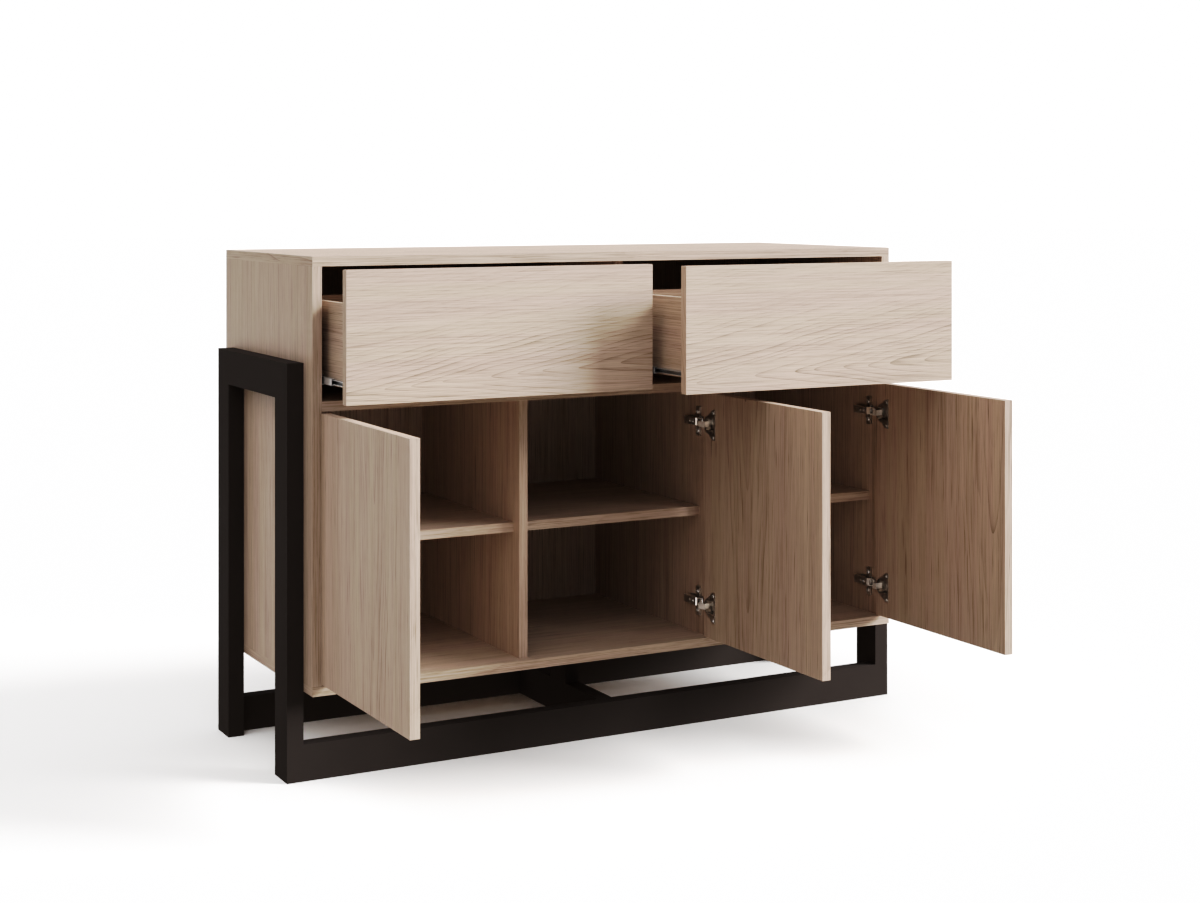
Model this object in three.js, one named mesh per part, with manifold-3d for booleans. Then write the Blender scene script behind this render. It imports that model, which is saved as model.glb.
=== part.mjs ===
// Sideboard buffet: an oak-effect carcass with two drawers over three cupboards, carried by a black frame.
// Millimetres, +Z up, +X to the viewer's right, the front faces -Y. The origin is on the floor, in the middle
// of the footprint. At rest the three doors stand open by 90 degrees and both drawers are partly out.
import * as THREE from "three";
import { mergeVertices } from "three/addons/utils/BufferGeometryUtils.js";
import Module from "manifold-3d";

const wasm = await Module();
wasm.setup();

// ---- overall sizes ----
const WIDTH = 1200; // over the two side frames
const HEIGHT = 855;
const DEPTH = 452; // carcass, front to back
const BOARD = 16; // carcass boards, doors and drawer fronts
const BAR = 28; // frame bars, narrow side
const BAR_WIDE = 60; // frame bars, wide side
const SIDE_FRAME_H = 681;
const LEG_SETBACK = 42; // from the carcass front or back to the leg
const CARCASS_W = WIDTH - 2 * BAR;
const INNER_X = CARCASS_W / 2 - BOARD; // inner face of the side panels
const CARCASS_Z = 147; // underside of the carcass

// ---- inside the carcass ----
const FLOOR_Z = CARCASS_Z + BOARD; // top of the bottom panel
const TOP_Z = HEIGHT - BOARD; // underside of the top panel
const DECK_Z = 605; // underside of the panel between drawers and doors
const DECK_TOP = DECK_Z + BOARD;
const PARTITION_X = 186; // middle plane of each partition
const PARTITION_SETBACK = 18;
const SHELF_Z = 376;
const SHELF_SETBACK = 40;
const SHELF_BACK_GAP = 2;
const BACK_PANEL_Y = 210; // front face of the back panel
const BACK_PANEL_T = 3;
const GROOVE_DEEP = 6; // groove round the back panel
const SLACK = 0.25;
const OVERCUT = 1; // how far a cut runs past the face it opens

// ---- doors and hinges ----
const DOOR_W = 367;
const DOOR_Z = [166.5, 602];
const HINGE_SPREAD = 162; // each hinge's height above or below the door's middle
const CUP = { r: 17.3, bore: 17.5, deep: 12.8, edge: 20.5, wall: 0.8, flange: 1.8, mouth: 11 };
const WING = { tall: 27, wide: 8, neck: 9 }; // the cup flange's broad bar, and where it narrows to the mouth
const ARM_HALF = 6.8; // half the arm's width
const SHEET = 1.3; // sheet steel of arm and link
const PIN_R = 1.5;
const EAR_R = 2.3;
// A hinge is drawn from its mounting face: x into the cupboard, y back from the front plane, z from its middle.
// edge is where the closed door begins, pivot is what it turns about, link is the line of the link at rest.
const SIDE_HINGE = {
  edge: 2,
  pivot: [-0.75, 1.25],
  link: [[4, 19.9], [8.9, 7.7], [22.8, -2.9], [21.1, -10.8], [8.2, -10.1]],
};
const MIDDLE_HINGE = {
  edge: -5.5,
  pivot: [-4.25, -2.75],
  link: [[4.5, 22.4], [15, 8.4], [25.9, -2], [20.9, -15.2], [10.8, -10.1]],
};
const DOOR_OPEN = Math.PI / 2;

// ---- drawers and slides ----
const DRAWER_FRONT = { x: [1.5, 554], z: [624, 836.5] };
const DRAWER_BOX = { x: [20.75, 543.25], z: [648, 782], t: 12, long: 300 };
const DRAWER_BOTTOM = { z: 655, t: 3, groove: 3.5, deep: 5, gap: 0.3 };
const LEFT_OUT = 104; // how far the left drawer stands out at rest
const RIGHT_OUT = 210;
const SLIDE_Z = 655; // middle of the slides
const SLIDE_LONG = 300;
const SLIDE_SETBACK = 1; // behind the drawer front
// Each runner is a channel: web and flange reach, both measured from the wall it runs along, and its height.
const MIDDLE_RUNNER = { web: [3.25, 4.25], flange: [3.25, 9.25], tall: 11 };
const DRAWER_RUNNER = { web: [11.75, 12.75], flange: [6, 12.75], tall: 7.5 };
const RUNNER_SHEET = 1;

// ---- finishes ----
const OAK = { color: 0xcab59a, roughness: 0.5, metalness: 0 };
const DRAWER_BOARD = { color: 0xc2ab8e, roughness: 0.55, metalness: 0 };
const BACK_BOARD = { color: 0xb9a184, roughness: 0.6, metalness: 0 };
const BLACK = { color: 0x1d1a18, roughness: 0.45, metalness: 0 };
const NICKEL = { color: 0xb9b5ad, roughness: 0.28, metalness: 1 };
const ZINC = { color: 0xb2b4b6, roughness: 0.36, metalness: 1 };

const SIDES = [["left", -1], ["right", 1]];

// ---- joining and cutting ----
function solid(geometry) {
  const bare = geometry.clone();
  bare.deleteAttribute("normal");
  bare.deleteAttribute("uv");
  const welded = mergeVertices(bare, 1e-4);
  return new wasm.Manifold(
    new wasm.Mesh({
      numProp: 3,
      vertProperties: welded.attributes.position.array,
      triVerts: new Uint32Array(welded.index.array),
    }),
  );
}

function surface(body) {
  const mesh = body.getMesh();
  const geometry = new THREE.BufferGeometry();
  geometry.setAttribute("position", new THREE.BufferAttribute(mesh.vertProperties, 3));
  geometry.setIndex(new THREE.BufferAttribute(mesh.triVerts, 1));
  geometry.computeVertexNormals();
  return geometry;
}

const cut = (from, ...tools) => surface(tools.reduce((body, tool) => body.subtract(solid(tool)), solid(from)));
const join = (first, ...rest) => surface(rest.reduce((body, more) => body.add(solid(more)), solid(first)));
const shared = (a, b) => surface(solid(a).intersect(solid(b)));

// ---- shapes ----
const middle = ([a, b]) => (a + b) / 2;
const length = ([a, b]) => b - a;
const slab = (w, d, h) => new THREE.BoxGeometry(w, d, h);
const block = (x, y, z) => slab(length(x), length(y), length(z)).translate(middle(x), middle(y), middle(z));

// Cylinders along each axis, round the other two coordinates.
const alongX = (r, x, y, z, sides) =>
  new THREE.CylinderGeometry(r, r, length(x), sides).rotateZ(Math.PI / 2).translate(middle(x), y, z);
const alongY = (r, x, y, z, sides) =>
  new THREE.CylinderGeometry(r, r, length(y), sides).translate(x, middle(y), z);
const alongZ = (r, x, y, z, sides) =>
  new THREE.CylinderGeometry(r, r, length(z), sides).rotateX(Math.PI / 2).translate(x, y, middle(z));

// An outline in x and y, drawn out along z by half the height each way.
function plate(points, half) {
  const shape = new THREE.Shape(points.map(([x, y]) => new THREE.Vector2(x, y)));
  return new THREE.ExtrudeGeometry(shape, { depth: 2 * half, bevelEnabled: false }).translate(0, 0, -half);
}

// A band of even thickness that follows a line of points, as an outline.
function band(path, thickness) {
  const points = path.map(([x, y]) => new THREE.Vector2(x, y));
  const last = points.length - 1;
  const side = (sign) =>
    points.map((point, i) => {
      const before = point.clone().sub(points[Math.max(i - 1, 0)]).normalize();
      const after = points[Math.min(i + 1, last)].clone().sub(point).normalize();
      const along = before.clone().add(after).normalize();
      const mitre = i > 0 && i < last ? after.dot(along) : 1;
      const reach = (sign * thickness) / 2 / mitre;
      return [point.x - along.y * reach, point.y + along.x * reach];
    });
  return [...side(1), ...side(-1).reverse()];
}

// ---- scene ----
function group(parent, name, at = [0, 0, 0], turn = [0, 0, 0]) {
  const made = new THREE.Group();
  made.name = name;
  made.position.set(...at);
  made.rotation.set(...turn);
  if (parent) parent.add(made);
  return made;
}

function part(parent, name, finish, geometry, at = [0, 0, 0], turn = [0, 0, 0]) {
  const mesh = new THREE.Mesh(geometry, new THREE.MeshStandardMaterial(finish));
  mesh.name = name;
  mesh.position.set(...at);
  mesh.rotation.set(...turn);
  parent.add(mesh);
}

const root = group(null, "sideboard");

// ---- carcass ----
const carcass = group(root, "carcass");
const grooveY = [BACK_PANEL_Y, BACK_PANEL_Y + BACK_PANEL_T + SLACK];
const grooveX = INNER_X + GROOVE_DEEP;
const faceCut = [BOARD / 2 - GROOVE_DEEP, BOARD / 2 + OVERCUT]; // groove across a board's upper face
const mirrored = ([a, b]) => [-b, -a];

for (const [name, z, cutZ] of [
  ["top_panel", HEIGHT - BOARD / 2, mirrored(faceCut)],
  ["bottom_panel", CARCASS_Z + BOARD / 2, faceCut],
]) {
  const groove = block([-grooveX, grooveX], grooveY, cutZ);
  part(carcass, name, OAK, cut(slab(CARCASS_W, DEPTH, BOARD), groove), [0, 0, z]);
}
const sideTall = TOP_Z - FLOOR_Z;
for (const [side, s] of SIDES) {
  const groove = block(s < 0 ? faceCut : mirrored(faceCut), grooveY, [-sideTall, sideTall]);
  const panel = cut(slab(BOARD, DEPTH, sideTall), groove);
  part(carcass, `${side}_side_panel`, OAK, panel, [s * (INNER_X + BOARD / 2), 0, FLOOR_Z + sideTall / 2]);
}

const innerDepth = [-DEPTH / 2 + PARTITION_SETBACK, BACK_PANEL_Y];
const bayTall = DECK_Z - FLOOR_Z;
for (const [side, s] of SIDES) {
  const panel = slab(BOARD, length(innerDepth), bayTall);
  part(carcass, `${side}_partition`, OAK, panel, [s * PARTITION_X, middle(innerDepth), FLOOR_Z + bayTall / 2]);
}
const divider = slab(BOARD, length(innerDepth), TOP_Z - DECK_TOP);
part(carcass, "drawer_divider", OAK, divider, [0, middle(innerDepth), (DECK_TOP + TOP_Z) / 2]);

const deckDepth = [-DEPTH / 2, BACK_PANEL_Y];
const deck = slab(2 * INNER_X, length(deckDepth), BOARD);
part(carcass, "drawer_deck", OAK, deck, [0, middle(deckDepth), DECK_Z + BOARD / 2]);

const shelfDepth = [-DEPTH / 2 + SHELF_SETBACK, BACK_PANEL_Y - SHELF_BACK_GAP];
const shelfWidths = {
  left: [-INNER_X, -PARTITION_X - BOARD / 2],
  middle: [-PARTITION_X + BOARD / 2, PARTITION_X - BOARD / 2],
  right: [PARTITION_X + BOARD / 2, INNER_X],
};
for (const [bay, x] of Object.entries(shelfWidths)) {
  const shelf = slab(length(x), length(shelfDepth), BOARD);
  part(carcass, `${bay}_shelf`, OAK, shelf, [middle(x), middle(shelfDepth), SHELF_Z + BOARD / 2]);
}

const intoGroove = GROOVE_DEEP - SLACK;
const backPanel = slab(2 * (INNER_X + intoGroove), BACK_PANEL_T, TOP_Z - FLOOR_Z + 2 * intoGroove);
part(carcass, "back_panel", BACK_BOARD, backPanel, [0, BACK_PANEL_Y + BACK_PANEL_T / 2, (FLOOR_Z + TOP_Z) / 2]);

// ---- frame ----
const frame = group(root, "frame");
const legOuterY = DEPTH / 2 - LEG_SETBACK;
const legY = legOuterY - BAR_WIDE / 2;
for (const [side, s] of SIDES) {
  const sideFrame = group(frame, `${side}_side_frame`, [s * (WIDTH - BAR) / 2, 0, 0]);
  for (const [end, dir] of [["front", -1], ["rear", 1]]) {
    const leg = slab(BAR, BAR_WIDE, SIDE_FRAME_H);
    part(sideFrame, `${side}_${end}_leg`, BLACK, leg, [0, dir * legY, SIDE_FRAME_H / 2]);
  }
  const topRail = slab(BAR, 2 * (legOuterY - BAR_WIDE), BAR_WIDE);
  part(sideFrame, `${side}_top_rail`, BLACK, topRail, [0, 0, SIDE_FRAME_H - BAR_WIDE / 2]);
}
const base = group(frame, "base", [0, 0, BAR_WIDE / 2]);
for (const [end, dir] of [["front", -1], ["rear", 1]])
  part(base, `${end}_rail`, BLACK, slab(CARCASS_W, BAR, BAR_WIDE), [0, dir * (legOuterY - BAR / 2), 0]);
part(base, "cross_rail", BLACK, slab(BAR, 2 * (legOuterY - BAR), BAR_WIDE));
const postTall = CARCASS_Z - BAR_WIDE;
part(base, "centre_post", BLACK, slab(BAR, BAR_WIDE, postTall), [0, 0, BAR_WIDE / 2 + postTall / 2]);

// ---- doors and hinges ----
const doorTall = length(DOOR_Z);

// A door lying flat in x and z, its hinge edge on the left and its cup bores in the back face.
function doorLeaf() {
  const x = CUP.edge - DOOR_W / 2;
  const y = [BOARD / 2 - CUP.deep, BOARD / 2 + OVERCUT];
  const bores = [-HINGE_SPREAD, HINGE_SPREAD].map((z) => alongY(CUP.bore, x, y, z, 48));
  return cut(slab(DOOR_W, BOARD, doorTall), ...bores);
}

// The cup, from the middle of its mouth: y out of the door, and its flange on the door's back face.
function hingeCup() {
  const barrel = alongY(CUP.r, 0, [0.2 - CUP.deep, CUP.flange], 0, 48);
  const inside = alongY(CUP.r - CUP.wall, 0, [1 - CUP.deep, CUP.r], 0, 48);
  const mouth = shared(inside, slab(3 * CUP.r, 3 * CUP.r, 2 * CUP.mouth));
  const half = [[CUP.r, WING.tall], [CUP.r - WING.wide, WING.tall], [-WING.neck, CUP.mouth]];
  const outline = [...half, ...half.map(([x, z]) => [x, -z]).reverse()];
  const flange = plate(outline, CUP.flange / 2).rotateX(Math.PI / 2).translate(0, CUP.flange / 2, 0);
  return cut(join(barrel, flange), mouth);
}

// The arm on its cross-shaped mounting plate: a channel with two ears that hold the link's pin.
function hingeArm([pinX, pinY]) {
  const outline = [
    [3, 74], [9, 76], [12, 72], [12, 32], [pinX + 6, pinY + 8], [pinX + EAR_R, pinY],
    [pinX + 1.6, pinY - 1.6], [pinX, pinY - EAR_R], [pinX - 1.6, pinY - 1.6], [pinX - EAR_R, pinY],
    [pinX - 1, pinY + 6], [3, 32],
  ];
  const inside = [
    [1, 78], [8, 78], [12 - SHEET, 71.5], [12 - SHEET, 32], [pinX + 4.6, pinY + 8.4],
    [pinX + 4.6, pinY + 6], [pinX + 8, pinY + 5], [pinX + 8, pinY - 5], [1, pinY - 5],
  ];
  const channel = cut(
    plate(outline, ARM_HALF),
    plate(inside, ARM_HALF - SHEET),
    alongZ(PIN_R + 0.1, pinX, pinY, [-20, 20], 24),
  );
  const wings = block([0, 4.5], [31, 43], [-26, 26]);
  const foot = block([0, 2], [26, 64], [-9, 9]);
  const spine = block([0, 8], [36, 62], [-4.2, 4.2]);
  const screw = alongX(2.6, [1, 12.8], 54, 0, 20);
  return join(channel, wings, foot, spine, screw);
}

function hingeLink(path) {
  const [pinX, pinY] = path[0];
  const half = ARM_HALF - SHEET - 0.5;
  const pinHalf = ARM_HALF + 0.4;
  return join(
    plate(band(path, SHEET), half),
    alongZ(2.2, pinX, pinY, [-half, half], 24),
    alongZ(PIN_R, pinX, pinY, [-pinHalf, pinHalf], 24),
  );
}

// into is the direction from the mounting face into the cupboard. A hinge mounted on its right is turned over.
const bays = [
  ["left", SIDE_HINGE, -INNER_X, 1],
  ["middle", MIDDLE_HINGE, PARTITION_X - BOARD / 2, -1],
  ["right", SIDE_HINGE, INNER_X, -1],
];
for (const [name, hinge, face, into] of bays) {
  const turn = [0, into < 0 ? Math.PI : 0, 0];
  const mounting = group(root, `${name}_mounting`, [face, -DEPTH / 2, middle(DOOR_Z)], turn);
  const [pivotX, pivotY] = hinge.pivot;
  const swing = group(mounting, `${name}_swing`, [pivotX, pivotY, 0], [0, 0, -DOOR_OPEN]);
  const edge = hinge.edge - pivotX;
  part(swing, `${name}_door`, OAK, doorLeaf(), [edge + DOOR_W / 2, BOARD / 2 - pivotY, 0]);
  for (const [level, up] of [["lower", -1], ["upper", 1]]) {
    const z = into * up * HINGE_SPREAD;
    part(swing, `${name}_${level}_hinge_cup`, NICKEL, hingeCup(), [edge + CUP.edge, BOARD - pivotY, z]);
    part(mounting, `${name}_${level}_hinge_arm`, NICKEL, hingeArm(hinge.link[0]), [0, 0, z]);
  }
  part(mounting, `${name}_upper_hinge_link`, NICKEL, hingeLink(hinge.link), [0, 0, into * HINGE_SPREAD]);
}

// ---- drawers and slides ----
const boxHalf = length(DRAWER_BOX.x) / 2;
const boxMiddle = middle(DRAWER_BOX.x);
const boxInside = boxHalf - DRAWER_BOX.t;
const bottomHalf = boxInside + DRAWER_BOTTOM.deep;
const grooveTop = DRAWER_BOTTOM.z + DRAWER_BOTTOM.groove;

// A runner along y, open away from its wall at x = 0.
function runner({ web, flange, tall }) {
  const y = [-SLIDE_LONG / 2, SLIDE_LONG / 2];
  const edge = [tall / 2 - RUNNER_SHEET, tall / 2];
  return join(
    block(web, y, [-tall / 2, tall / 2]),
    block(flange, y, edge),
    block(flange, y, mirrored(edge)),
  );
}

for (const [name, s, out] of [["left", -1, LEFT_OUT], ["right", 1, RIGHT_OUT]]) {
  const drawer = group(root, `${name}_drawer`, [s * boxMiddle, -DEPTH / 2 - out, 0]);
  const frontX = s * (middle(DRAWER_FRONT.x) - boxMiddle);
  const frontZ = middle(DRAWER_FRONT.z);
  const frontGroove = block(
    [-frontX - bottomHalf - 0.2, -frontX + bottomHalf + 0.2],
    [BOARD / 2 - DRAWER_BOTTOM.deep, BOARD / 2 + OVERCUT],
    [DRAWER_BOTTOM.z - frontZ, grooveTop - frontZ],
  );
  const front = cut(slab(length(DRAWER_FRONT.x), BOARD, length(DRAWER_FRONT.z)), frontGroove);
  part(drawer, `${name}_drawer_front`, OAK, front, [frontX, BOARD / 2, frontZ]);

  const sideZ = middle(DRAWER_BOX.z);
  const sideY = BOARD + DRAWER_BOX.long / 2;
  for (const [which, dir] of [["inner", -s], ["outer", s]]) {
    const deep = [DRAWER_BOX.t / 2 - DRAWER_BOTTOM.deep, DRAWER_BOX.t / 2 + OVERCUT];
    const groove = block(
      dir > 0 ? mirrored(deep) : deep,
      [-DRAWER_BOX.long, DRAWER_BOX.long],
      [DRAWER_BOTTOM.z - sideZ, grooveTop - sideZ],
    );
    const board = cut(slab(DRAWER_BOX.t, DRAWER_BOX.long, length(DRAWER_BOX.z)), groove);
    const x = dir * (boxHalf - DRAWER_BOX.t / 2);
    part(drawer, `${name}_drawer_${which}_side`, DRAWER_BOARD, board, [x, sideY, sideZ]);
  }

  const backZ = [grooveTop, DRAWER_BOX.z[1]];
  const backY = BOARD + DRAWER_BOX.long - DRAWER_BOX.t / 2;
  const back = slab(2 * boxInside, DRAWER_BOX.t, length(backZ));
  part(drawer, `${name}_drawer_back`, DRAWER_BOARD, back, [0, backY, middle(backZ)]);

  const bottomY = [BOARD - DRAWER_BOTTOM.deep + DRAWER_BOTTOM.gap, BOARD + DRAWER_BOX.long];
  const bottom = slab(2 * (bottomHalf - DRAWER_BOTTOM.gap), length(bottomY), DRAWER_BOTTOM.t);
  const bottomZ = DRAWER_BOTTOM.z + DRAWER_BOTTOM.t / 2;
  part(drawer, `${name}_drawer_bottom`, BACK_BOARD, bottom, [0, middle(bottomY), bottomZ]);

  // The middle runners go half as far as the drawer, and the drawer runners go with it.
  const runnerY = BOARD + SLIDE_SETBACK + SLIDE_LONG / 2;
  const middleRunners = group(root, `${name}_middle_runners`, [0, -DEPTH / 2 - out / 2, 0]);
  for (const [which, wall, dir] of [["inner", s * (BOARD / 2), s], ["outer", s * INNER_X, -s]]) {
    const turn = [0, dir < 0 ? Math.PI : 0, 0];
    const middleAt = [wall, runnerY, SLIDE_Z];
    const drawerAt = [wall - s * boxMiddle, runnerY, SLIDE_Z];
    part(middleRunners, `${name}_${which}_middle_runner`, ZINC, runner(MIDDLE_RUNNER), middleAt, turn);
    part(drawer, `${name}_${which}_drawer_runner`, ZINC, runner(DRAWER_RUNNER), drawerAt, turn);
  }
}

export default root;
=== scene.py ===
import math
import random

import bmesh
import bpy
from mathutils import Matrix, Vector


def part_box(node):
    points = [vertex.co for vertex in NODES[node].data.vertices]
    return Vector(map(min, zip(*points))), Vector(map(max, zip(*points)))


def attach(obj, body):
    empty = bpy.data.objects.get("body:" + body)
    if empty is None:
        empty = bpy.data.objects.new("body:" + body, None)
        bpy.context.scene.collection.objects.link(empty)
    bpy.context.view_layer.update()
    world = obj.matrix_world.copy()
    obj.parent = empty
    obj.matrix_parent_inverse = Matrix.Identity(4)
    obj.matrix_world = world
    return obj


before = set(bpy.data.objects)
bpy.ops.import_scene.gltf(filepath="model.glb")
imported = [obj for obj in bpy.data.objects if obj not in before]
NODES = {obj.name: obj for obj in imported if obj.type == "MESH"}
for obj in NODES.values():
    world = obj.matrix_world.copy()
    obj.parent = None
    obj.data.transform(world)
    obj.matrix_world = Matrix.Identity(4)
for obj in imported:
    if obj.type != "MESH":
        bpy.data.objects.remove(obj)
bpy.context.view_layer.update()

BAYS = ("left", "middle", "right")
LEVELS = ("lower", "upper")
SIDES = {"left": -1, "right": 1}
X, Y, Z = 0, 1, 2
MM = 0.001


# ---------------------------------------------------------------- node graph helpers
class Graph:
    """A node tree that is built by expressions."""

    def __init__(self, tree):
        self.tree = tree
        self.tree.nodes.clear()

    def link(self, source, target):
        self.tree.links.new(source, target)

    def set(self, socket, value):
        if isinstance(value, bpy.types.NodeSocket):
            self.link(value, socket)
        else:
            socket.default_value = value

    def add(self, kind, inputs=(), **settings):
        node = self.tree.nodes.new(kind)
        for key, value in settings.items():
            setattr(node, key, value)
        for key, value in dict(inputs).items():
            self.set(node.inputs[key], value)
        return node

    def math(self, operation, a, b=0.0, c=0.0):
        node = self.add("ShaderNodeMath", operation=operation)
        for socket, value in zip(node.inputs, (a, b, c)):
            self.set(socket, value)
        return node.outputs[0]

    def scaled(self, value, factor):
        return self.math("MULTIPLY", value, factor)

    def vector(self, x, y, z):
        return self.add("ShaderNodeCombineXYZ", {"X": x, "Y": y, "Z": z}).outputs[0]

    def split(self, vector):
        return self.add("ShaderNodeSeparateXYZ", {"Vector": vector}).outputs[:]

    def noise(self, vector, detail=2.0, rough=0.5, scale=1.0):
        inputs = {"Vector": vector, "Scale": scale, "Detail": detail, "Roughness": rough}
        return self.add("ShaderNodeTexNoise", inputs).outputs["Fac"]

    def blend(self, factor, a, b):
        """a where factor is 0, b where it is 1."""
        return self.math("MULTIPLY_ADD", factor, self.math("SUBTRACT", b, a), a)

    def occlusion(self, reach):
        return self.add("ShaderNodeAmbientOcclusion", {"Distance": reach}, samples=6).outputs["AO"]

    def spread(self, value, low, high, to_low=0.0, to_high=1.0):
        """Maps the range low..high to to_low..to_high, and holds its ends outside it."""
        inputs = {"Value": value, "From Min": low, "From Max": high, "To Min": to_low, "To Max": to_high}
        return self.add("ShaderNodeMapRange", inputs, clamp=True).outputs[0]

    def ramp(self, value, stops):
        node = self.add("ShaderNodeValToRGB", {"Fac": value})
        elements = node.color_ramp.elements
        while len(elements) < len(stops):
            elements.new(0.5)
        for element, (place, colour) in zip(elements, stops):
            element.position = place
            element.color = (*colour, 1.0)
        return node.outputs["Color"]


class Material(Graph):
    """A material with one principled shader."""

    def __init__(self, name, specular):
        self.material = bpy.data.materials.new(name)
        self.material.use_nodes = True
        super().__init__(self.material.node_tree)
        self.shader = self.add("ShaderNodeBsdfPrincipled", {"Specular IOR Level": specular})
        self.add("ShaderNodeOutputMaterial", {"Surface": self.shader.outputs[0]})

    def finish(self, colour, roughness, metallic=0.0):
        self.set(self.shader.inputs["Base Color"], colour)
        self.set(self.shader.inputs["Roughness"], roughness)
        self.set(self.shader.inputs["Metallic"], metallic)
        return self.material

    def bump(self, height, distance, strength):
        node = self.add("ShaderNodeBump", {"Height": height, "Distance": distance, "Strength": strength})
        self.link(node.outputs[0], self.shader.inputs["Normal"])


# ---------------------------------------------------------------- oak-effect board
OAK = [(0.0, (0.215, 0.156, 0.108)), (0.5, (0.425, 0.332, 0.256)), (1.0, (0.545, 0.455, 0.372))]
OAK_HUES = [(0.0, (1.0, 0.984, 0.975)), (1.0, (1.0, 0.955, 0.985))]
OAK_SPECULAR = 0.3
# Marks of the print: length and breadth in metres, number of the layer, and detail of the noise.
BAND = (0.60, 0.017, 2.0, 2.0)
FIBRE = (0.340, 0.0019, 11.0, 3.0)
HAIR = (0.110, 0.0009, 17.0, 2.0)
FLECK = (0.080, 0.0028, 31.0, 1.0)
PORE = (0.024, 0.00050, 23.0, 1.0)
HUE = (0.80, 0.030, 41.0, 1.0)
# Soft unevenness: its frequencies along and across the grain per metre, number of the layer, and detail of the noise.
DRIFT = (2.6, 7.0, 0.0, 2.0)
WOBBLE = (5.0, 22.0, 5.0, 1.0)
PATCH = (9.0, 30.0, 9.0, 1.0)
# How far the drift moves the rings and the fibres across the grain, in metres.
RING_DRIFT = 0.030
FIBRE_DRIFT = 0.005
# How many years the wobble and the uneven widths shift a ring by, and how many years apart the widths change.
WOBBLE_YEARS = 0.9
UNEVEN_YEARS = 3.4
UNEVEN_SPACING = 2.6
# A year's line, and the broader shade that leads up to it, as (power, strength).
LINE = (9.0, 0.70)
LEAD = (2.0, 0.30)
PORE_DEPTH = 0.00012


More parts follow.
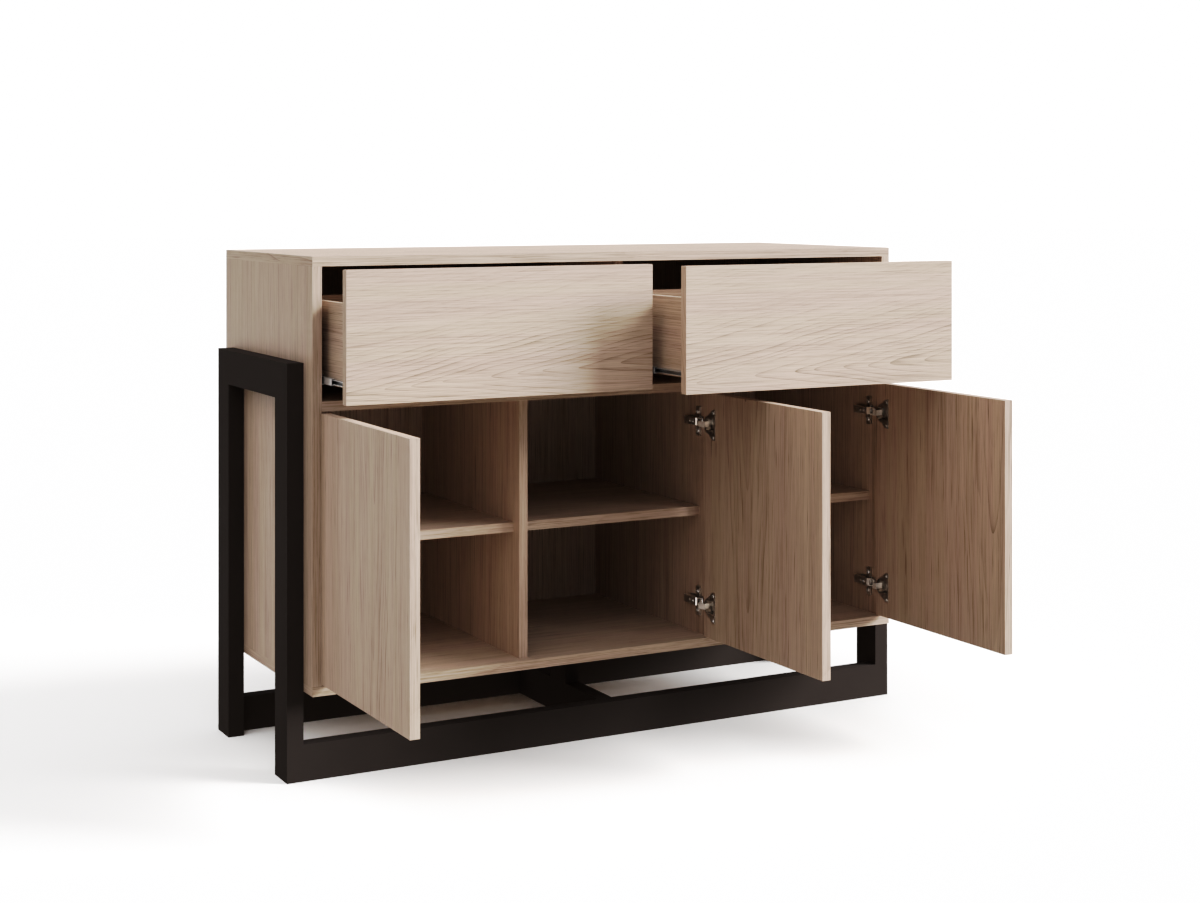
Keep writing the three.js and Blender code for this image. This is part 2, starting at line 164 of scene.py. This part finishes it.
def oak(node, grain, heart=None, slope=None, spacing=0.010, rings=0.5, tone=1.0, streaks=0.5, tilt=0.0,
        contrast=1.5):
    """The oak effect of one board. grain is the number of the axis along the grain.

    heart is where the growth rings centre, in metres from the middle of the board: a place across the grain and a
    depth behind the face. slope opens the rings into arches along the grain, and tilt leans the arches' middle line
    across the board. spacing is the width of a year. rings, streaks and contrast set how strongly each kind of mark
    shows, and tone darkens the whole board.
    """
    low, high = (Vector(corner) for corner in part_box(node))
    centre = (low + high) / 2
    size = high - low
    thick = min((axis for axis in (X, Y, Z) if axis != grain), key=lambda axis: size[axis])
    across = ({X, Y, Z} - {grain, thick}).pop()
    chance = random.Random(node)
    if heart is None:
        heart = (chance.uniform(0.7, 1.6) * size[across] * chance.choice((-1, 1)), chance.uniform(0.02, 0.2))
        slope = chance.uniform(-0.05, 0.05)
    seed = chance.uniform(0.0, 50.0)
    g = Material(f"oak_{node}", OAK_SPECULAR)
    coords = g.add("ShaderNodeTexCoord")
    place = g.add("ShaderNodeVectorMath", {0: coords.outputs["Object"], 1: tuple(centre)}, operation="SUBTRACT")
    place = g.split(place.outputs[0])
    normal = g.split(coords.outputs["Normal"])
    # On a banded end the grain runs along the band.
    end = g.math("GREATER_THAN", g.math("ABSOLUTE", normal[grain]), 0.7)
    along = g.blend(end, place[grain], place[across])
    wide = g.blend(end, place[across], place[thick])
    deep = g.math("MULTIPLY", place[thick], g.math("SUBTRACT", 1.0, end))

    def cloud(across_grain, along_rate, across_rate, layer, detail):
        """Soft noise, at its frequencies along and across the grain."""
        spot = g.vector(g.scaled(along, along_rate), g.scaled(across_grain, across_rate), seed + layer)
        return g.noise(spot, detail)

    bend = g.math("SUBTRACT", cloud(wide, *DRIFT), 0.5)
    ring_wide = g.math("MULTIPLY_ADD", bend, RING_DRIFT, wide)
    wide = g.math("MULTIPLY_ADD", bend, FIBRE_DRIFT, wide)

    # Growth rings: cones about the heart, cut by the face of the board.
    off = g.math("SUBTRACT", ring_wide, g.math("MULTIPLY_ADD", along, tilt, heart[0]))
    depth = g.math("ADD", deep, heart[1])
    radius = g.math("SQRT", g.math("MULTIPLY_ADD", off, off, g.math("MULTIPLY", depth, depth)))
    radius = g.math("MULTIPLY_ADD", along, -slope, radius)
    uneven = g.noise(g.vector(g.math("DIVIDE", radius, spacing * UNEVEN_SPACING), seed + 3.0, 1.0), 1.0)
    phase = g.math("ADD", g.math("DIVIDE", radius, spacing), g.scaled(cloud(wide, *WOBBLE), WOBBLE_YEARS))
    phase = g.math("ADD", phase, g.scaled(uneven, UNEVEN_YEARS))
    # Each year darkens towards a thin line. Some years and some places are stronger than others.
    tooth = g.math("FRACT", phase)
    line = g.scaled(g.math("POWER", tooth, LINE[0]), LINE[1])
    shade = g.math("MULTIPLY_ADD", g.math("POWER", tooth, LEAD[0]), LEAD[1], line)
    year = g.noise(g.vector(g.math("FLOOR", phase), seed, 7.0), 0.0)
    patch = g.spread(cloud(wide, *PATCH), 0.30, 0.60, 0.25, 1.0)
    strong = g.math("MULTIPLY", g.spread(year, 0.36, 0.56, 0.10, 1.0), patch)
    close = g.spread(g.math("ABSOLUTE", off), 0.045, 0.120, 1.0, 0.30)
    ring = g.math("MULTIPLY", g.math("MULTIPLY", shade, strong), close)

    def marks(length, breadth, layer, detail):
        """Noise drawn out along the grain."""
        third = g.math("MULTIPLY_ADD", deep, 1.0 / breadth, seed + layer)
        spot = g.vector(g.math("DIVIDE", along, length), g.math("DIVIDE", wide, breadth), third)
        return g.noise(spot, detail, 0.55)

    fibre = marks(*FIBRE)
    pores = g.spread(marks(*PORE), 0.60, 0.74)
    flecks = g.spread(marks(*FLECK), 0.64, 0.78)
    value = 0.5
    # Each layer has a weight, and a rest level at which it leaves the colour alone.
    layers = ((marks(*BAND), 0.60 * streaks, 0.5), (fibre, 0.90, 0.5), (marks(*HAIR), 1.30, 0.5),
              (ring, -0.75 * rings, 0.22), (flecks, -0.55 * streaks, 0.05), (pores, -0.30, 0.1))
    for layer, weight, rest in layers:
        weight *= contrast
        value = g.math("ADD", value, g.math("MULTIPLY_ADD", layer, weight, -weight * rest))
    colour = g.ramp(value, [(stop, tuple(c * tone for c in paint)) for stop, paint in OAK])
    # The print drifts between a yellowish and a pinkish beige.
    tint = g.ramp(g.spread(marks(*HUE), 0.38, 0.62), OAK_HUES)
    tinted = g.add("ShaderNodeMix", {0: 1.0, 6: colour, 7: tint}, data_type="RGBA", blend_type="MULTIPLY")
    g.bump(g.math("SUBTRACT", g.scaled(fibre, 0.35), pores), PORE_DEPTH, 0.8)
    return g.finish(tinted.outputs[2], g.math("MULTIPLY_ADD", fibre, 0.20, 0.42))


# ---------------------------------------------------------------- other materials
BLACK = [(0.0, (0.0330, 0.0277, 0.0256)), (1.0, (0.0530, 0.0446, 0.0412))]


def black_coating():
    """Matt black coating with a very fine orange-peel texture, a little paler at its sharp edges."""
    g = Material("black_coating", 0.003)
    coords = g.add("ShaderNodeTexCoord").outputs["Object"]
    fine = g.noise(coords, scale=900.0)
    broad = g.noise(coords, 3.0, scale=14.0)
    edge = g.spread(g.add("ShaderNodeNewGeometry").outputs["Pointiness"], 0.52, 0.62)
    edge_and_cloud = g.math("ADD", g.scaled(broad, 0.35), g.scaled(edge, 0.65))
    g.bump(fine, 0.00006, 0.5)
    return g.finish(g.ramp(edge_and_cloud, BLACK), g.math("MULTIPLY_ADD", broad, 0.12, 0.46))


# Painted shade that darkens steel in its hollows: how dark it gets, how far it reaches in metres, and how fast it
# darkens.
PAINTED_SHADE_TONE, PAINTED_SHADE_REACH, PAINTED_SHADE_POWER = 0.06, 0.007, 1.1


def metal(name, colour, rough, lengthwise=None, metallic=0.7):
    """Plated steel with painted shade in its hollows. lengthwise is the number of the axis of its rolling marks, if
    any.
    """
    g = Material(name, 0.5)
    coords = g.add("ShaderNodeTexCoord").outputs["Object"]
    scales = [1800.0, 1800.0, 1800.0]
    if lengthwise is not None:
        scales[lengthwise] = 20.0
    rolled = g.noise(g.vector(*[g.scaled(v, s) for v, s in zip(g.split(coords), scales)]), 2.0)
    cloud = g.noise(coords, 3.0, scale=60.0)
    # Painted shade: the colour darkens toward the shade tone where ambient occlusion finds hollows.
    unshaded = g.math("POWER", g.occlusion(PAINTED_SHADE_REACH), PAINTED_SHADE_POWER)
    level = g.math("MULTIPLY", unshaded, g.spread(cloud, 0.3, 0.7, 0.85, 1.0))
    painted_shade_stops = [(0.0, tuple(c * PAINTED_SHADE_TONE for c in colour)), (1.0, colour)]
    g.bump(rolled, 0.00002, 0.4)
    return g.finish(g.ramp(level, painted_shade_stops), g.math("MULTIPLY_ADD", rolled, 0.14, rough - 0.07), metallic)


MATERIALS = {
    "black": black_coating(),
    "nickel": metal("nickel_plate", (0.80, 0.74, 0.68), 0.30, metallic=0.95),
    # The cup is the same nickel painted darker: painted shade that stands in for the dark interior it reflects.
    "cup": metal("nickel_cup_painted_shade", (0.62, 0.56, 0.50), 0.30, metallic=0.95),
    # The link is the same nickel painted paler and less metallic: a painted highlight on its front face.
    "link": metal("nickel_link_painted_highlight", (0.90, 0.86, 0.81), 0.38),
    "zinc": metal("zinc_plate", (0.62, 0.63, 0.64), 0.34, Y),
    "screw": metal("screw_steel", (0.62, 0.60, 0.57), 0.30),
}


# ---------------------------------------------------------------- the CAD nodes
BOARD_EDGE = 0.8 * MM
FACE_EDGE = 0.7 * MM
FRAME_EDGE = 1.0 * MM
HINGE_EDGE = 0.4 * MM
LINK_EDGE = 0.2 * MM
RAIL_EDGE = 0.3 * MM


def ease(piece, width, segments=2):
    """Eased edges, by a modifier."""
    modifier = piece.modifiers.new("eased_edges", "BEVEL")
    modifier.width = width
    modifier.segments = segments
    modifier.limit_method = "ANGLE"
    modifier.angle_limit = math.radians(40)
    modifier.harden_normals = True


def dress(node, material, edge=None, segments=2):
    """Gives a CAD node its material and its eased edges."""
    piece = NODES[node]
    piece.data.materials.clear()
    piece.data.materials.append(material)
    if edge:
        ease(piece, edge, segments)


for node in ("bottom_panel", "drawer_deck", "left_shelf", "middle_shelf", "right_shelf"):
    dress(node, oak(node, X), BOARD_EDGE)
dress("top_panel", oak("top_panel", X, heart=(-0.05, 0.10), slope=0.05), BOARD_EDGE)
for node in ("left_side_panel", "right_side_panel", "left_partition", "right_partition", "drawer_divider"):
    dress(node, oak(node, Z), BOARD_EDGE)
dress("back_panel", oak("back_panel", Z, tone=0.94))
DOOR_HEARTS = {"left": (-0.045, 0.012), "middle": (0.040, 0.020), "right": (-0.150, 0.030)}
for bay, heart in DOOR_HEARTS.items():
    board = oak(f"{bay}_door", Z, heart, slope=0.07, spacing=0.012, rings=0.8, streaks=0.9, contrast=1.3)
    dress(f"{bay}_door", board, FACE_EDGE, 3)
FRONT_RINGS = {
    "left": {"heart": (-0.070, 0.010), "slope": 0.135, "spacing": 0.0085, "tilt": 0.05},
    "right": {"heart": (-0.072, 0.012), "slope": 0.150, "spacing": 0.0095, "tilt": 0.04},
}
for side, figure in FRONT_RINGS.items():
    board = oak(f"{side}_drawer_front", X, rings=1.20, streaks=0.35, contrast=1.3, **figure)
    dress(f"{side}_drawer_front", board, FACE_EDGE, 3)
for side in SIDES:
    for place in ("inner", "outer"):
        dress(f"{side}_drawer_{place}_side", oak(f"{side}_drawer_{place}_side", Y), BOARD_EDGE)
        dress(f"{side}_{place}_middle_runner", MATERIALS["zinc"])
        dress(f"{side}_{place}_drawer_runner", MATERIALS["zinc"])
    for board in ("back", "bottom"):
        dress(f"{side}_drawer_{board}", oak(f"{side}_drawer_{board}", X), BOARD_EDGE)
    for bar in ("front_leg", "rear_leg", "top_rail"):
        dress(f"{side}_{bar}", MATERIALS["black"], FRAME_EDGE, 3)
for bar in ("front_rail", "rear_rail", "cross_rail", "centre_post"):
    dress(bar, MATERIALS["black"], FRAME_EDGE, 3)
for bay in BAYS:
    for level in LEVELS:
        dress(f"{bay}_{level}_hinge_cup", MATERIALS["cup"], HINGE_EDGE)
        dress(f"{bay}_{level}_hinge_arm", MATERIALS["nickel"], HINGE_EDGE)
    dress(f"{bay}_upper_hinge_link", MATERIALS["link"], LINK_EDGE)


# ---------------------------------------------------------------- shapes of the small hardware
def mesh_of(name, build):
    """A mesh from a function that fills a bmesh, smooth where its faces meet at a shallow angle."""
    shape = bmesh.new()
    build(shape)
    bmesh.ops.recalc_face_normals(shape, faces=shape.faces)
    for edge in shape.edges:
        edge.smooth = len(edge.link_faces) == 2 and edge.calc_face_angle(0.0) < math.radians(35)
    for face in shape.faces:
        face.smooth = True
    mesh = bpy.data.meshes.new(name)
    shape.to_mesh(mesh)
    shape.free()
    return mesh


def prism(outline, length):
    """An outline in x and z, drawn out along y from 0."""
    def build(shape):
        near = [shape.verts.new((x, 0.0, z)) for x, z in outline]
        far = [shape.verts.new((x, length, z)) for x, z in outline]
        shape.faces.new(near)
        shape.faces.new(list(reversed(far)))
        for i in range(len(outline)):
            j = (i + 1) % len(outline)
            shape.faces.new((near[j], near[i], far[i], far[j]))
    return build


def turned(profile, sides=32):
    """A profile of (radius, height) pairs, turned about z. A radius of 0 closes an end."""
    def build(shape):
        rows = []
        for radius, height in profile:
            count = sides if radius > 0 else 1
            angles = [2 * math.pi * i / sides for i in range(count)]
            rows.append([shape.verts.new((radius * math.cos(t), radius * math.sin(t), height)) for t in angles])
        for a, b in zip(rows, rows[1:]):
            for i in range(sides):
                j = i + 1
                corners = [a[i % len(a)], a[j % len(a)], b[j % len(b)], b[i % len(b)]]
                shape.faces.new(list(dict.fromkeys(corners)))
    return build


def carved(mesh, cutters):
    """The mesh with closed shapes cut out of it."""
    body = bpy.data.objects.new("body", mesh)
    tools = [bpy.data.objects.new("tool", cutter) for cutter in cutters]
    for thing in [body, *tools]:
        bpy.context.collection.objects.link(thing)
    for tool in tools:
        modifier = body.modifiers.new("cut", "BOOLEAN")
        modifier.operation = "DIFFERENCE"
        modifier.object = tool
    bpy.context.view_layer.update()
    result = bpy.data.meshes.new_from_object(body.evaluated_get(bpy.context.evaluated_depsgraph_get()))
    for thing in [body, *tools]:
        bpy.data.objects.remove(thing)
    return result


def screw_mesh(name, radius, height):
    """A pan head with a cross recess, its seat at z = 0."""
    profile = [(0.0, 0.0), (radius, 0.0), (radius, height * 0.35), (radius * 0.93, height * 0.65),
               (radius * 0.72, height * 0.9), (radius * 0.4, height), (0.0, height)]
    arm, half, floor_z = radius * 0.55, radius * 0.11, height * 0.35
    cutters = []
    for a, b in ((arm, half), (half, arm)):
        outline = [(-a, floor_z), (a, floor_z), (a, 2 * height), (-a, 2 * height)]
        cutter = mesh_of("cutter", prism(outline, 2 * b))
        cutter.transform(Matrix.Translation((0.0, -b, 0.0)))
        cutters.append(cutter)
    made = carved(mesh_of(name, turned(profile)), cutters)
    made.name = name
    return made


def channel(half, reach, sheet, lip):
    """The section of a folded rail: its web on x = 0, its flanges to x = reach, with lips turned in."""
    upper = [(sheet, half - sheet), (reach - sheet, half - sheet), (reach - sheet, half - lip),
             (reach, half - lip), (reach, half), (0, half)]
    return [(x, -z) for x, z in reversed(upper)] + upper


def fit(name, mesh, matrix, body, material, edge=None):
    """Puts a piece in its place and on the body it moves with."""
    piece = bpy.data.objects.new(name, mesh)
    piece.matrix_world = matrix
    bpy.context.collection.objects.link(piece)
    if not mesh.materials:
        mesh.materials.append(MATERIALS[material])
    if edge:
        ease(piece, edge)
    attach(piece, body)


def at(x, y, z):
    """A place in millimetres."""
    return Matrix.Translation(Vector((x, y, z)) * MM)


def facing(into):
    """Turns z to +x or, with into -1, to -x."""
    return Matrix.Rotation(into * math.pi / 2, 4, "Y")


# ---------------------------------------------------------------- screws and links of the hinges
FRONT_PLANE = -226.0
HINGE_FACES = {"left": (-556, 1), "middle": (178, -1), "right": (556, -1)}  # place in x and way into the bay
DOOR_INNER = {"left": 14.0, "middle": 14.5, "right": 14.0}  # the open door's inner face, from the hinge's face
HINGE_HEIGHTS = {"lower": 222.25, "upper": 546.25}
WING_TOP, ARM_TOP, FLANGE_TOP = 4.5, 12.0, 1.8
PLATE_SCREW_SPREAD = 17.0
CUP_SCREW_SPREAD = 21.76
plate_screw = screw_mesh("plate_screw", 3.9 * MM, 1.9 * MM)
small_screw = screw_mesh("small_screw", 3.0 * MM, 1.2 * MM)


def hinge_place(bay, level, u, v, w):
    """A place on a hinge: u out of its mounting face, v back from the front plane, w above its middle."""
    face, into = HINGE_FACES[bay]
    return at(face + into * u, FRONT_PLANE + v, HINGE_HEIGHTS[level] + w) @ facing(into)


for bay in BAYS:
    for level in LEVELS:
        for end, up in (("low", -1), ("high", 1)):
            fit(f"{bay}_{level}_plate_screw_{end}", plate_screw,
                hinge_place(bay, level, WING_TOP, 37.0, up * PLATE_SCREW_SPREAD),
                "cabinet", "screw")
            fit(f"{bay}_{level}_cup_screw_{end}", small_screw,
                hinge_place(bay, level, DOOR_INNER[bay] + FLANGE_TOP, -35.0, up * CUP_SCREW_SPREAD),
                f"{bay}_door_body", "screw")
        fit(f"{bay}_{level}_depth_screw", small_screw, hinge_place(bay, level, ARM_TOP, 42.0, 0.0),
            "cabinet", "screw")
    # The lower link is the twin of the upper one.
    link = NODES[f"{bay}_upper_hinge_link"]
    drop = at(0.0, 0.0, HINGE_HEIGHTS["lower"] - HINGE_HEIGHTS["upper"])
    fit(f"{bay}_lower_hinge_link", link.data.copy(), drop @ link.matrix_world,
        f"{bay}_link_body", "link", LINK_EDGE)

# ---------------------------------------------------------------- shelf pins
# A collar against the wall and a peg under the shelf, as (radius, height) pairs.
PIN = [(0.0, 0.0), (4.2, 0.0), (4.2, 1.4), (3.4, 2.0), (2.5, 2.0), (2.5, 8.6), (2.1, 9.0), (0.0, 9.0)]
PIN_Z = 373.5
PIN_PLACES = {"front": -140.0, "rear": 160.0}
SHELF_WALLS = {"left": (-556, -194), "middle": (-178, 178), "right": (194, 556)}
pin_mesh = mesh_of("shelf_pin", turned([(r * MM, h * MM) for r, h in PIN], 28))
for bay, walls in SHELF_WALLS.items():
    for which, wall, into in (("left", walls[0], 1), ("right", walls[1], -1)):
        for end, y in PIN_PLACES.items():
            fit(f"{bay}_shelf_pin_{which}_{end}", pin_mesh, at(wall, y, PIN_Z) @ facing(into),
                "cabinet", "screw")

# ---------------------------------------------------------------- fixed members of the slides
SLIDE_Z, SLIDE_LONG, SLIDE_FRONT = 655.0, 300.0, -209.0
SLIDE_WALLS = {"inner": (8, 1), "outer": (556, -1)}  # on the right, mirrored on the left
SLIDE_SHEET = 1.2
MEMBER_SCREWS = (28.0, 150.0, 272.0)  # behind the slide's front end
section = [(x * MM, z * MM) for x, z in channel(8.0, 10.0, SLIDE_SHEET, 2.0)]
rail_mesh = mesh_of("cabinet_member", prism(section, SLIDE_LONG * MM))
for side, sign in SIDES.items():
    for place, (wall, into) in SLIDE_WALLS.items():
        wall, into = wall * sign, into * sign
        turn = Matrix.Rotation(0.0 if into > 0 else math.pi, 4, "Y")
        fit(f"{side}_{place}_cabinet_member", rail_mesh, at(wall, SLIDE_FRONT, SLIDE_Z) @ turn,
            "cabinet", "zinc", RAIL_EDGE)
        for number, along in enumerate(MEMBER_SCREWS, 1):
            spot = at(wall + into * SLIDE_SHEET, SLIDE_FRONT + along, SLIDE_Z)
            fit(f"{side}_{place}_member_screw_{number}", small_screw, spot @ facing(into),
                "cabinet", "screw")

# ---------------------------------------------------------------- camera and floor
IMAGE_WIDTH = 1200.0
FOCAL_PIXELS = 1947.8
SENSOR = 36.0
FLOOR_HALF = 40.0
camera_data = bpy.data.cameras.new("camera")
camera_data.sensor_width = SENSOR
camera_data.lens = FOCAL_PIXELS / IMAGE_WIDTH * SENSOR
camera_data.shift_x = 0.0020
camera_data.shift_y = -0.2133
camera_data.clip_end = 100.0
camera = bpy.data.objects.new("camera", camera_data)
camera.location = (-1.6534, -3.1985, 0.9532)
camera.rotation_euler = (math.radians(90.0), 0.0, math.radians(-28.32))
bpy.context.collection.objects.link(camera)
bpy.context.scene.camera = camera

floor_mesh = bpy.data.meshes.new("floor")
corners = [(x * FLOOR_HALF, y * FLOOR_HALF, 0.0) for x, y in ((-1, -1), (1, -1), (1, 1), (-1, 1))]
floor_mesh.from_pydata(corners, [], [(0, 1, 2, 3)])
floor_mesh.materials.append(Material("studio_floor", 0.2).finish((0.93, 0.93, 0.93, 1.0), 0.7))
floor = bpy.data.objects.new("floor", floor_mesh)
bpy.context.collection.objects.link(floor)
# The sky's lower half stands in for the light that the floor throws back.
floor.visible_diffuse = False


# ---------------------------------------------------------------- lamps
def distant_lamp(name, source, strength, angle):
    data = bpy.data.lights.new(name, "SUN")
    data.energy = strength
    data.angle = math.radians(angle)
    lamp = bpy.data.objects.new(name, data)
    lamp.rotation_euler = (-Vector(source).normalized()).to_track_quat("-Z", "Y").to_euler()
    bpy.context.collection.objects.link(lamp)
    return lamp


distant_lamp("key", (0.772, -0.456, 0.442), 3.25, 29)
# The second lamp only opens the shadows on the floor.
fill = distant_lamp("floor_fill", (-0.55, -0.35, 0.76), 0.8, 70)
lit_by_fill = bpy.data.collections.new("lit_by_floor_fill")
lit_by_fill.objects.link(floor)
fill.light_linking.receiver_collection = lit_by_fill

# ---------------------------------------------------------------- sky
# It is bright overhead and to the left, and dim in front and below.
WARM = (1.0, 0.86, 0.72)
NEUTRAL = (0.99, 0.985, 0.995)
OVERHEAD, FROM_LEFT, FROM_FRONT = 0.68, 0.26, 0.07
world = bpy.data.worlds.new("studio")
bpy.context.scene.world = world
world.use_nodes = True
sky = Graph(world.node_tree)
dx, dy, dz = sky.split(sky.add("ShaderNodeTexCoord").outputs["Generated"])
overhead = sky.spread(dz, 0.25, 0.9, 0.0, OVERHEAD)
left = sky.math("MULTIPLY", sky.spread(dx, 0.1, -1.0, 0.0, FROM_LEFT), sky.spread(dy, -0.6, 0.6))
upper = sky.math("MULTIPLY", sky.spread(dz, -0.02, 0.05), sky.math("ADD", overhead, left))
lower = sky.spread(dz, -0.25, 0.0, 0.15, 0.07)
front = sky.spread(dy, -0.45, -0.95, 0.0, FROM_FRONT)
glow = sky.math("ADD", upper, sky.math("ADD", lower, front))
warm_side = sky.math("MULTIPLY", sky.spread(dx, 0.0, -0.7), sky.spread(dz, 0.95, 0.45))
cool = sky.math("SUBTRACT", sky.spread(dz, -0.03, 0.03), sky.scaled(warm_side, 0.50))
light = sky.add("ShaderNodeBackground", {"Color": sky.ramp(cool, [(0.0, WARM), (1.0, NEUTRAL)]), "Strength": glow})
backdrop = sky.add("ShaderNodeBackground", {"Color": (1.0, 1.0, 1.0, 1.0), "Strength": 1.0})
seen = sky.add("ShaderNodeLightPath").outputs["Is Camera Ray"]
mixed = sky.add("ShaderNodeMixShader", {0: seen, 1: light.outputs[0], 2: backdrop.outputs[0]})
sky.add("ShaderNodeOutputWorld", {"Surface": mixed.outputs[0]})

# ---------------------------------------------------------------- tone curve
TONE = ((0.0, 0.0), (0.02, 0.0196), (0.05, 0.0741), (0.1, 0.20), (0.15, 0.335), (0.22, 0.455), (0.4, 0.66),
        (0.6, 0.84), (0.8, 0.985), (1.0, 1.0))
view = bpy.context.scene.view_settings
view.view_transform = "Standard"
view.look = "None"
view.use_curve_mapping = True
points = view.curve_mapping.curves[3].points
while len(points) < len(TONE):
    points.new(0.5, 0.5)
for point, (x, y) in zip(points, TONE):
    point.location = (x, y)
view.curve_mapping.update()
